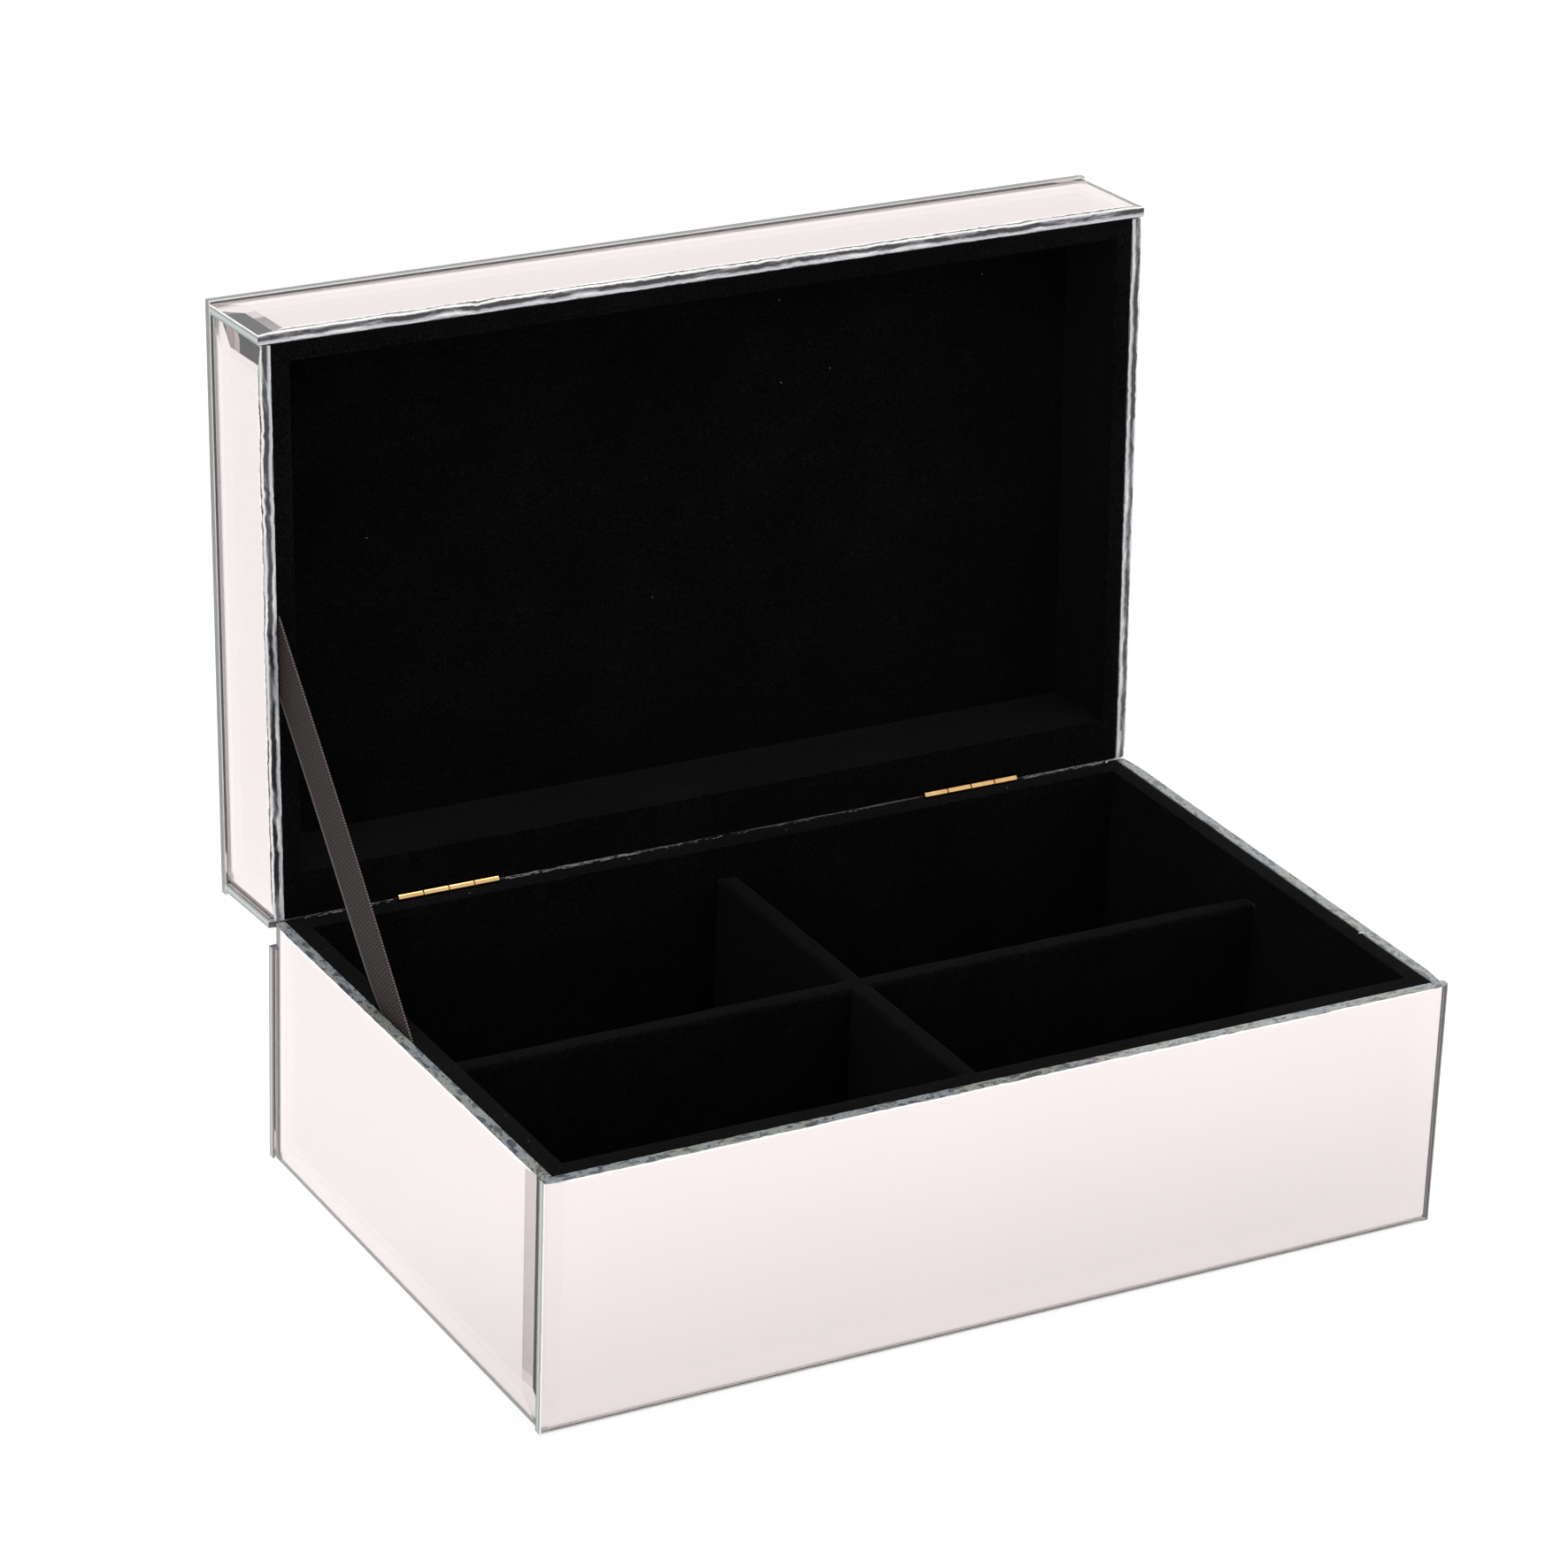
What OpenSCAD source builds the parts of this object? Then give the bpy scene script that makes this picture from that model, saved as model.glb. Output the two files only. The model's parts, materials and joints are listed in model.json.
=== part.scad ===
// Mirrored vanity trinket box.
// Bevelled mirror panes are glued round a fibreboard core that is lined with velvet. The base holds two
// crossed dividers. The lid turns on two small brass butt hinges, and a ribbon stay stops it upright.
// Origin: centre of the underside. +Z is up, +X runs along the width and -Y is the front.

/* [Box] */
// Width over the glass
box_w = 250; // [200:1:320]
// Depth over the glass
box_d = 157; // [120:1:220]
// Height of the base, from the table to its rim
base_h = 66.8; // [50:0.1:100]
// Height of the lid, from its rim to the top glass
lid_h = 32.8; // [24:0.1:60]
// Gap between the two rims with the lid shut
rim_gap = 0.4; // [0.3:0.1:1]
// Angle at which the ribbon stops the lid
open_angle = 92.8; // [90:0.1:105]

/* [Mirror glass] */
// Thickness of the mirror glass
glass_t = 3.5; // [2:0.1:5]
// Width of the ground bevel on a pane's outer sides
bevel_w = 7; // [3:0.1:9]
// Glass that the bevel takes off at the edge of a pane
bevel_drop = 0.8; // [0.3:0.1:1.5]
// Lower edge of the base panes above the table
glass_lift = 0.5; // [0.2:0.1:0.8]
// Top edge of the rear base pane below the rim
rear_glass_drop = 7.2; // [6:0.1:15]
// Lower edge of the rear lid pane above the lid rim
rear_glass_setback = 2.5; // [2:0.1:6]
// Open joint at each end of a side pane
glass_seam = 0.1; // [0:0.05:0.4]

/* [Board core] */
// Thickness of the front and side walls
wall_t = 4; // [3:0.1:8]
// Thickness of the rear wall of the base, which takes the hinges
base_rear_t = 5.6; // [5.2:0.1:12]
// Thickness of the rear wall of the lid
lid_rear_t = 11.1; // [5.2:0.1:16]
// Thickness of the bottom board
board_t = 3; // [2:0.1:6]
// Thickness of the board behind the top glass
lid_board_t = 4.5; // [3:0.1:8]

/* [Velvet and felt] */
// Thickness of the velvet
velvet_t = 0.7; // [0.4:0.1:1.2]
// Thickness of the felt under the base
felt_t = 1; // [0.9:0.1:2]
// Felt edge inside the bottom board
felt_inset = 0.5; // [0:0.1:4]

/* [Dividers] */
// Thickness of a divider board
divider_t = 4.5; // [3:0.1:8]
// Covered top of the dividers below the rim
divider_drop = 8.3; // [2:0.1:20]
// Gap round each board in the halved joint
lap_gap = 0.1; // [0.05:0.05:0.3]
// Gap between the end of a divider and the lining
divider_gap = 0.1; // [0.05:0.05:0.5]

/* [Hinges] */
// Length of a hinge
hinge_l = 28; // [20:1:40]
// Centre of the left hinge from the left end of the box
hinge_inset_left = 48.2; // [30:0.1:80]
// Centre of the right hinge from the right end of the box
hinge_inset_right = 49; // [30:0.1:80]
// Number of knuckles, shared by the two leaves in turn
knuckle_n = 4; // [3:1:6]
// Gap between knuckles
knuckle_gap = 0.4; // [0.1:0.05:0.6]
// Outside diameter of the knuckles
barrel_d = 2.7; // [2.4:0.1:3.2]
// Diameter of the hinge pin
pin_d = 1.2; // [0.8:0.1:1.6]
// Width of a leaf, from the pin's axis to its edge
leaf_w = 5; // [4.8:0.1:5.2]
// Thickness of a leaf
leaf_t = 0.8; // [0.6:0.1:1]
// Screw row from the pin's axis
screw_row = 3.2; // [3:0.1:3.4]
// Screws to each side of the hinge's middle
screw_offset = 9; // [5:0.5:12]
// Shank diameter of a screw
screw_d = 1.6; // [1.2:0.1:1.8]
// Head diameter of a screw
screw_head_d = 2.8; // [2.4:0.1:3]
// Length of a screw
screw_l = 6; // [4:0.5:10]

/* [Ribbon stay] */
// Width of the ribbon
ribbon_w = 15; // [6:0.5:20]
// Thickness of the ribbon
ribbon_t = 0.3; // [0.2:0.05:0.35]
// Middle of the ribbon on the base rim, from the hinge axis
ribbon_base_at = 63.7; // [40:0.1:80]
// Middle of the ribbon on the lid rim, from the hinge axis
ribbon_lid_at = 69.8; // [40:0.1:80]
// Length of ribbon glued behind the glass at each end
ribbon_tail = 8; // [4:0.5:12]

/* [Hidden] */

$fn = 48;
// Oversize of a cutting tool past the face that it opens
cut = 1;
// Running clearance between a pin or screw and its hole, all round
round_gap = 0.03;
// Clearance round a leaf in its recess and round the ribbon in its slot
fit_gap = 0.1;
// Clearance round a turning knuckle
turn_gap = 0.15;

mirror_tint = [0.95, 0.92, 0.91];
board_black = [0.11, 0.10, 0.09];
velvet_black = [0.05, 0.05, 0.055];
felt_black = [0.09, 0.09, 0.09];
ribbon_black = [0.18, 0.17, 0.17];
brass_yellow = [0.85, 0.66, 0.34];

// Outside of the core, which is the inside of the glass
core_x = box_w / 2 - glass_t;
core_y = box_d / 2 - glass_t;
// Hinge axis: on the rear face of the core, midway between the two rims
axis_z = base_h + rim_gap / 2;
lid_rim_z = base_h + rim_gap;
top_z = lid_rim_z + lid_h;
// Base core levels
board_z = felt_t;
base_floor_z = board_z + board_t;
base_wall_top = base_h - velvet_t;
// Lid core levels, with the lid shut
lid_wall_z = lid_rim_z + velvet_t;
lid_board_z = top_z - glass_t - lid_board_t;
// Dividers
divider_z = base_floor_z + velvet_t;
divider_top = base_h - divider_drop - velvet_t;
lap_z = (divider_z + divider_top) / 2;
divider_y = (wall_t - base_rear_t) / 2;
divider_long_l = 2 * (core_x - wall_t - velvet_t - divider_gap);
divider_short_l = 2 * core_y - wall_t - base_rear_t - 2 * (velvet_t + divider_gap);
// Hinges
hinge_xs = [hinge_inset_left - box_w / 2, box_w / 2 - hinge_inset_right];
knuckle_l = (hinge_l - (knuckle_n - 1) * knuckle_gap) / knuckle_n;
// Rims' boards lie this far from the hinge axis
leaf_level = rim_gap / 2 + velvet_t;
screw_cone = (screw_head_d - screw_d) / 2;
// Ribbon, in the plane across the hinge axis: [forward of the axis is negative, up is positive]
lid_along = [-cos(open_angle), sin(open_angle)];
lid_inward = [sin(open_angle), cos(open_angle)];
ribbon_from = [-ribbon_base_at, -rim_gap / 2];
ribbon_to = lid_along * ribbon_lid_at + lid_inward * rim_gap / 2;
ribbon_dir = (ribbon_to - ribbon_from) / norm(ribbon_to - ribbon_from);
base_half = ribbon_w / 2 / ribbon_dir[1];
lid_half = ribbon_w / 2 / abs(ribbon_dir[0] * lid_along[1] - ribbon_dir[1] * lid_along[0]);
ribbon_slot = ribbon_t + fit_gap;

// A pane with its silvered back on z = 0 and a mitred bevel round its face. The side that square
// points to, along x or y, has no bevel.
module pane(a, b, square = [0, 0]) {
    intersection() {
        rotate([90, 0, 90]) linear_extrude(a, center = true) pane_section(b, square[1]);
        rotate([90, 0, 0]) linear_extrude(b, center = true) pane_section(a, square[0]);
    }
}

// Half of a pane's outline, to the side that way points to
function pane_end(w, way, bevelled) = bevelled
    ? [[way * w / 2, glass_t - bevel_drop], [way * (w / 2 - bevel_w), glass_t]]
    : [[way * w / 2, glass_t]];

module pane_section(w, square) {
    low_end = pane_end(w, -1, square >= 0);
    polygon(concat(
        [[-w / 2, 0], [w / 2, 0]],
        pane_end(w, 1, square <= 0),
        [for (k = [len(low_end) - 1 : -1 : 0]) low_end[k]]
    ));
}

// Panes by the side that they face, from height z0 to z1. The side at the rim, which is up (1) in
// the base and down (-1) in the lid, is cut square.
module front_pane(z0, z1, rim) {
    translate([0, -core_y, (z0 + z1) / 2]) rotate([90, 0, 0]) pane(box_w, z1 - z0, [0, rim]);
}

module rear_pane(z0, z1, rim) {
    translate([0, core_y, (z0 + z1) / 2]) rotate([-90, 0, 0]) pane(box_w, z1 - z0, [0, -rim]);
}

module side_pane(side, z0, z1, rim) {
    translate([side * core_x, 0, (z0 + z1) / 2])
        rotate([0, side * 90, 0]) pane(z1 - z0, 2 * (core_y - glass_seam), [-side * rim, 0]);
}

// A block from one corner to the opposite one
module block(low, high) {
    translate(low) cube(high - low);
}

// Turns what is drawn shut about the hinge axis to where the ribbon stops the lid
module in_lid() {
    translate([0, core_y, axis_z]) rotate([-open_angle, 0, 0]) translate([0, -core_y, -axis_z])
        children();
}

// Places a child at the left end of each hinge, with the hinge axis along x
module at_hinge(x) {
    translate([x - hinge_l / 2, core_y, axis_z]) children();
}

module upside_down() {
    mirror([0, 0, 1]) children();
}

// Knuckle k's place along the hinge
function knuckle_x(k) = k * (knuckle_l + knuckle_gap);

module knuckle(k, r) {
    translate([knuckle_x(k), 0, 0]) rotate([0, 90, 0]) cylinder(h = knuckle_l, r = r);
}

// Joins knuckle k to its plate
module neck(k) {
    translate([knuckle_x(k), -barrel_d / 2, -leaf_level - leaf_t])
        cube([knuckle_l, barrel_d / 2, leaf_level + leaf_t]);
}

// A leaf that lies below the axis. It has every second knuckle from the first one given.
module leaf(first) {
    color(brass_yellow) difference() {
        union() {
            difference() {
                translate([0, -leaf_w, -leaf_level - leaf_t]) cube([hinge_l, leaf_w, leaf_t]);
                for (k = [1 - first : 2 : knuckle_n - 1])
                    translate([
                        knuckle_x(k) - knuckle_gap, -barrel_d / 2 - turn_gap, -leaf_level - leaf_t - cut
                    ]) cube([knuckle_l + 2 * knuckle_gap, leaf_w, leaf_t + 2 * cut]);
            }
            for (k = [first : 2 : knuckle_n - 1]) {
                knuckle(k, barrel_d / 2);
                neck(k);
            }
        }
        translate([-cut, 0, 0]) rotate([0, 90, 0])
            cylinder(h = hinge_l + 2 * cut, d = pin_d + 2 * round_gap);
        leaf_screws(round_gap);
    }
}

module pin() {
    color(brass_yellow) rotate([0, 90, 0]) cylinder(h = hinge_l, d = pin_d);
}

// The two countersunk screws of a leaf, grown all round by gap to make their holes
module leaf_screws(gap = 0) {
    for (side = [-1, 1])
        translate([hinge_l / 2 + side * screw_offset, -screw_row, -leaf_level]) screw(gap);
}

module screw(gap) {
    rotate([180, 0, 0]) {
        translate([0, 0, -gap]) cylinder(h = gap + screw_cone,
            r1 = screw_head_d / 2 + gap, r2 = screw_d / 2 + gap);
        cylinder(h = screw_l + gap, d = screw_d + 2 * gap);
    }
}

// Recess for a leaf, its barrel and its screws in the edge of a rear wall
module leaf_recess() {
    translate([-fit_gap, -leaf_w - fit_gap, -leaf_level - leaf_t])
        cube([hinge_l + 2 * fit_gap, leaf_w + fit_gap + cut, leaf_t + cut]);
    translate([-fit_gap, 0, 0]) rotate([0, 90, 0])
        cylinder(h = hinge_l + 2 * fit_gap, r = barrel_d / 2 + turn_gap);
    leaf_screws(round_gap);
}

// Notch in the velvet for the barrel
module barrel_notch() {
    translate([-fit_gap, -barrel_d / 2 - turn_gap, -leaf_level - cut])
        cube([hinge_l + 2 * fit_gap, barrel_d, 2 * cut + leaf_level]);
}

// Slot for a ribbon end, cut in the outer face of a left wall and its velvet.
// Level is the rim's height, and way is -1 for the base and 1 for the lid.
module ribbon_slot_tool(from_axis, half, level, way) {
    translate([-core_x - cut, core_y - from_axis - half - fit_gap, level - cut])
        mirror([0, 0, way < 0 ? 1 : 0])
            translate([0, 0, way < 0 ? -2 * cut : 0])
                cube([cut + ribbon_slot, 2 * (half + fit_gap), ribbon_tail + fit_gap + cut]);
}

// Room inside the four walls, grown by skin on every side
module wall_room(rear_t, skin, z0, z1) {
    block([-core_x + wall_t - skin, -core_y + wall_t - skin, z0],
        [core_x - wall_t + skin, core_y - rear_t + skin, z1]);
}

module front_wall(z0, z1) {
    block([-core_x, -core_y, z0], [core_x, -core_y + wall_t, z1]);
}

module rear_wall(rear_t, z0, z1) {
    block([-core_x, core_y - rear_t, z0], [core_x, core_y, z1]);
}

module side_wall(side, rear_t, z0, z1) {
    near = side < 0 ? -core_x : core_x - wall_t;
    block([near, -core_y + wall_t, z0], [near + wall_t, core_y - rear_t, z1]);
}

// ---- Base ----

module base_board() {
    color(board_black) block([-core_x, -core_y, board_z], [core_x, core_y, base_floor_z]);
}

module base_front_wall() {
    color(board_black) front_wall(base_floor_z, base_wall_top);
}

module base_rear_wall() {
    color(board_black) difference() {
        rear_wall(base_rear_t, base_floor_z, base_wall_top);
        for (x = hinge_xs) at_hinge(x) leaf_recess();
    }
}

module base_left_wall() {
    color(board_black) difference() {
        side_wall(-1, base_rear_t, base_floor_z, base_wall_top);
        ribbon_slot_tool(ribbon_base_at, base_half, base_h, -1);
    }
}

module base_right_wall() {
    color(board_black) side_wall(1, base_rear_t, base_floor_z, base_wall_top);
}

// Velvet down the inside of the walls and over their edges
module base_wall_lining() {
    color(velvet_black) difference() {
        union() {
            wall_room(base_rear_t, 0, base_floor_z, base_h);
            block([-core_x, -core_y, base_wall_top], [core_x, core_y, base_h]);
        }
        wall_room(base_rear_t, -velvet_t, base_floor_z - cut, base_h + cut);
        for (x = hinge_xs) at_hinge(x) barrel_notch();
        ribbon_slot_tool(ribbon_base_at, base_half, base_h, -1);
    }
}

module base_floor_lining() {
    color(velvet_black) wall_room(base_rear_t, -velvet_t, base_floor_z, divider_z);
}

module base_felt() {
    edge = felt_inset;
    color(felt_black) block([-core_x + edge, -core_y + edge, 0], [core_x - edge, core_y - edge, felt_t]);
}

module base_mirror_front() {
    color(mirror_tint) front_pane(glass_lift, base_h, 1);
}

module base_mirror_rear() {
    color(mirror_tint) rear_pane(glass_lift, base_h - rear_glass_drop, 1);
}

module base_mirror_left() {
    color(mirror_tint) side_pane(-1, glass_lift, base_h, 1);
}

module base_mirror_right() {
    color(mirror_tint) side_pane(1, glass_lift, base_h, 1);
}

// ---- Dividers, halved over each other where they cross ----

module divider_board(length) {
    translate([-length / 2, -divider_t / 2, divider_z]) cube([length, divider_t, divider_top - divider_z]);
}

// Slot for the crossing board, from z0 to z1
module lap_slot(z0, z1) {
    half = divider_t / 2 + lap_gap;
    block([-half, -divider_t, z0], [half, divider_t, z1]);
}

// Velvet over a divider's two sides and top
module divider_velvet(length) {
    skin = divider_t / 2 + velvet_t;
    difference() {
        block([-length / 2, -skin, divider_z], [length / 2, skin, divider_top + velvet_t]);
        block([-length, -divider_t / 2, divider_z - cut], [length, divider_t / 2, divider_top]);
    }
}

// Room that the crossing divider takes, velvet and all, up to a height
module crossing_room(top) {
    half = divider_t / 2 + velvet_t;
    block([-half, -2 * half, divider_z - cut], [half, 2 * half, top]);
}

module divider_long() {
    color(board_black) translate([0, divider_y, 0]) difference() {
        divider_board(divider_long_l);
        lap_slot(lap_z, divider_top + cut);
    }
}

module divider_short() {
    color(board_black) translate([0, divider_y, 0]) rotate([0, 0, 90]) difference() {
        divider_board(divider_short_l);
        lap_slot(divider_z - cut, lap_z);
    }
}

module divider_long_cover() {
    color(velvet_black) translate([0, divider_y, 0]) difference() {
        divider_velvet(divider_long_l);
        crossing_room(divider_top + velvet_t + cut);
    }
}

module divider_short_cover() {
    color(velvet_black) translate([0, divider_y, 0]) rotate([0, 0, 90]) difference() {
        divider_velvet(divider_short_l);
        crossing_room(divider_top);
    }
}

// ---- Hinges ----

module hinge_left_base_leaf() {
    at_hinge(hinge_xs[0]) leaf(0);
}

module hinge_right_base_leaf() {
    at_hinge(hinge_xs[1]) leaf(0);
}

module hinge_left_pin() {
    at_hinge(hinge_xs[0]) pin();
}

module hinge_right_pin() {
    at_hinge(hinge_xs[1]) pin();
}

module base_hinge_screws() {
    color(brass_yellow) for (x = hinge_xs) at_hinge(x) leaf_screws();
}

module hinge_left_lid_leaf() {
    in_lid() at_hinge(hinge_xs[0]) upside_down() leaf(1);
}

module hinge_right_lid_leaf() {
    in_lid() at_hinge(hinge_xs[1]) upside_down() leaf(1);
}

module lid_hinge_screws() {
    color(brass_yellow) in_lid() for (x = hinge_xs) at_hinge(x) upside_down() leaf_screws();
}

// ---- Ribbon stay: pulled straight from the base rim to the lid rim, with an end glued behind the glass ----

module ribbon_stay() {
    base_front = ribbon_from - [base_half, 0];
    base_back = ribbon_from + [base_half, 0];
    lid_front = ribbon_to + lid_along * lid_half;
    lid_back = ribbon_to - lid_along * lid_half;
    down = [0, -ribbon_tail];
    inward = lid_inward * ribbon_tail;
    color(ribbon_black) translate([-core_x + fit_gap / 2, core_y, axis_z])
        rotate([90, 0, 90]) linear_extrude(ribbon_t) polygon([
            base_back + down, base_front + down, base_front,
            lid_front, lid_front + inward, lid_back + inward,
            lid_back, base_back
        ]);
}

// ---- Lid, drawn shut and then opened ----

module lid_board() {
    color(board_black) in_lid()
        block([-core_x, -core_y, lid_board_z], [core_x, core_y, lid_board_z + lid_board_t]);
}

module lid_front_wall() {
    color(board_black) in_lid() front_wall(lid_wall_z, lid_board_z);
}

module lid_rear_wall() {
    color(board_black) in_lid() difference() {
        rear_wall(lid_rear_t, lid_wall_z, lid_board_z);
        for (x = hinge_xs) at_hinge(x) upside_down() leaf_recess();
    }
}

module lid_left_wall() {
    color(board_black) in_lid() difference() {
        side_wall(-1, lid_rear_t, lid_wall_z, lid_board_z);
        ribbon_slot_tool(ribbon_lid_at, lid_half, lid_rim_z, 1);
    }
}

module lid_right_wall() {
    color(board_black) in_lid() side_wall(1, lid_rear_t, lid_wall_z, lid_board_z);
}

module lid_wall_lining() {
    color(velvet_black) in_lid() difference() {
        union() {
            wall_room(lid_rear_t, 0, lid_rim_z, lid_board_z);
            block([-core_x, -core_y, lid_rim_z], [core_x, core_y, lid_wall_z]);
        }
        wall_room(lid_rear_t, -velvet_t, lid_rim_z - cut, lid_board_z + cut);
        for (x = hinge_xs) at_hinge(x) upside_down() barrel_notch();
        ribbon_slot_tool(ribbon_lid_at, lid_half, lid_rim_z, 1);
    }
}

module lid_panel_lining() {
    color(velvet_black) in_lid() wall_room(lid_rear_t, -velvet_t, lid_board_z - velvet_t, lid_board_z);
}

module lid_mirror_top() {
    color(mirror_tint) in_lid() translate([0, 0, top_z - glass_t]) pane(box_w, box_d);
}

module lid_mirror_front() {
    color(mirror_tint) in_lid() front_pane(lid_rim_z, top_z - glass_t, -1);
}

module lid_mirror_rear() {
    color(mirror_tint) in_lid() rear_pane(lid_rim_z + rear_glass_setback, top_z - glass_t, -1);
}

module lid_mirror_left() {
    color(mirror_tint) in_lid() side_pane(-1, lid_rim_z, top_z - glass_t, -1);
}

module lid_mirror_right() {
    color(mirror_tint) in_lid() side_pane(1, lid_rim_z, top_z - glass_t, -1);
}

base_board();
base_front_wall();
base_rear_wall();
base_left_wall();
base_right_wall();
base_wall_lining();
base_floor_lining();
divider_long();
divider_short();
divider_long_cover();
divider_short_cover();
base_mirror_front();
base_mirror_rear();
base_mirror_left();
base_mirror_right();
base_felt();
hinge_left_base_leaf();
hinge_right_base_leaf();
hinge_left_pin();
hinge_right_pin();
base_hinge_screws();
ribbon_stay();
lid_board();
lid_front_wall();
lid_rear_wall();
lid_left_wall();
lid_right_wall();
lid_wall_lining();
lid_panel_lining();
lid_mirror_top();
lid_mirror_front();
lid_mirror_rear();
lid_mirror_left();
lid_mirror_right();
hinge_left_lid_leaf();
hinge_right_lid_leaf();
lid_hinge_screws();
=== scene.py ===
# %% [markdown]
# # A mirrored trinket box, open on its ribbon
# The box is a black fibreboard core lined with black velvet, with nine bevelled mirrors glued
# round it, two small brass hinges and a satin ribbon that stops the lid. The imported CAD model
# gives the frame: every size and place below is read from it, in metres. Hard parts whose shape is
# right keep their CAD mesh and get a material. Glass, cloth, felt and ribbon are built again here,
# because what they show is in their rounded, ground or woven surface.

# %% Load the frame
import json
import math
import random

import bmesh
import bpy
from mathutils import Matrix, Quaternion, Vector, noise

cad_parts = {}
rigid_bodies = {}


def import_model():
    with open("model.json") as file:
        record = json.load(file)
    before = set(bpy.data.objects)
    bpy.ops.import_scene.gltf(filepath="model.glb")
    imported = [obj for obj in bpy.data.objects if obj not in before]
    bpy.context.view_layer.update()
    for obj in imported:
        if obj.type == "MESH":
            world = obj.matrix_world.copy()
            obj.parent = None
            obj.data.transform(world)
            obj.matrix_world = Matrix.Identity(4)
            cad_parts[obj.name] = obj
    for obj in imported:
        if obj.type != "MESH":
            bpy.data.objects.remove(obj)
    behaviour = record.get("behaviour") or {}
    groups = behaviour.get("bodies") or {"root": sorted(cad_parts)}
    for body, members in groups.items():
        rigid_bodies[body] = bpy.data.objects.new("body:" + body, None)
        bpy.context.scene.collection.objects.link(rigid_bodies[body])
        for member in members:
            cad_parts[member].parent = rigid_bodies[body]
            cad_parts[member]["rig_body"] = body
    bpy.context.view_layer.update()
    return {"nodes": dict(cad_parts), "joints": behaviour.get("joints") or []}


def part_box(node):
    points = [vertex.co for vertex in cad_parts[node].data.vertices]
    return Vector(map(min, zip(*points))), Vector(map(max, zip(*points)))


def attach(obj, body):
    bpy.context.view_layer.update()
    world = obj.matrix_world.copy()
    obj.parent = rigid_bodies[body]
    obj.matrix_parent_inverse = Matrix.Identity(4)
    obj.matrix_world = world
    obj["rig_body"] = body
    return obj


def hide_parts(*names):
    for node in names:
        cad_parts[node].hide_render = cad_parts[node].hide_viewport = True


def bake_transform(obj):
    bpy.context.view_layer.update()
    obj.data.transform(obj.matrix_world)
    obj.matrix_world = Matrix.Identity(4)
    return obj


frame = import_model()
MM = 0.001

# %% [markdown]
# ## Camera
# A long lens from the front left, a little above the box, keeps the upright edges almost parallel
# and shows the front, the left end and the inside at once. The camera is placed by what it looks
# at: an aim point near the middle of the open box, two angles, a small roll and a distance. That
# way each number can be changed without touching the others.

# %% Camera
AIM = Vector((-7.5, 26.3, 103.1)) * MM
AZIMUTH, ELEVATION, ROLL = map(math.radians, (-29.27, 23.96, 2.01))
DISTANCE = 1.460
FOCAL_LENGTH, SENSOR = 134.4, 36

camera_data = bpy.data.cameras.new("camera")
camera_data.lens, camera_data.sensor_width = FOCAL_LENGTH, SENSOR
camera = bpy.data.objects.new("camera", camera_data)
bpy.context.scene.collection.objects.link(camera)
away = Vector((
    math.sin(AZIMUTH) * math.cos(ELEVATION),
    -math.cos(AZIMUTH) * math.cos(ELEVATION),
    math.sin(ELEVATION),
))
camera.location = AIM + away * DISTANCE
camera.rotation_mode = "QUATERNION"
camera.rotation_quaternion = (-away).to_track_quat("-Z", "Y") @ Quaternion((0, 0, 1), ROLL)
bpy.context.scene.camera = camera
print("camera at", [round(c, 3) for c in camera.location])

# %% [markdown]
# ## Colours and nodes
# Colours are written as the sRGB hex values that a colour picker shows. Shaders work in linear
# light, so one function turns the first into the second. Another adds a node, sets its values and
# links its inputs, which keeps each material below to a few lines.

# %% Colour and node helpers
def linear(hex_colour):
    """An sRGB colour such as "#E3BC74" as linear RGBA."""
    channels = [int(hex_colour[i:i + 2], 16) / 255 for i in (1, 3, 5)]
    return [c / 12.92 if c <= 0.04045 else ((c + 0.055) / 1.055) ** 2.4 for c in channels] + [1]


def add(tree, kind, settings=None, inputs=None):
    """Adds a node; an input is a number, a colour or the output socket that it is linked to."""
    node = tree.nodes.new(kind)
    for name, value in (settings or {}).items():
        setattr(node, name, value)
    for name, value in (inputs or {}).items():
        if isinstance(value, bpy.types.NodeSocket):
            tree.links.new(value, node.inputs[name])
        else:
            node.inputs[name].default_value = value
    return node


def ramp(tree, factor, stops):
    """A colour ramp; each stop is a position and a colour."""
    node = add(tree, "ShaderNodeValToRGB", {}, {"Fac": factor})
    while len(node.color_ramp.elements) < len(stops):
        node.color_ramp.elements.new(1.0)
    for element, (position, colour) in zip(node.color_ramp.elements, stops):
        element.position, element.color = position, linear(colour)
    return node.outputs["Color"]


def per_mm(size):
    """The texture scale that gives features of this size in millimetres."""
    return 1 / (size * MM)


def new_material(name):
    """An empty material; gives its node tree and the coordinates of the piece in metres."""
    made = bpy.data.materials.new(name)
    made.use_nodes = True
    made.node_tree.nodes.clear()
    place = add(made.node_tree, "ShaderNodeTexCoord").outputs["Object"]
    return made, made.node_tree, place


def finish_material(tree, **inputs):
    """Ends a material in one Principled shader with these inputs."""
    named = {name.replace("_", " "): value for name, value in inputs.items()}
    shader = add(tree, "ShaderNodeBsdfPrincipled", {}, named)
    output = add(tree, "ShaderNodeOutputMaterial", {}, {"Surface": shader.outputs["BSDF"]})
    print("material with", len(tree.nodes), "nodes")
    return output

# %% [markdown]
# ## Mirror glass
# A mirror is clear float glass with a silver film on its back, so it is made that way: a closed
# body of glass whose back face is metal. Light bends at the bevels, meets the silver and comes out
# again somewhere else, and that is what draws the fine double lines and the grey bands along a
# bevel. The polished faces, the silver and the ground edges are three materials on one mesh.

# %% Float glass, silver and ground edge
GLASS_IOR = 1.52

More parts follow.
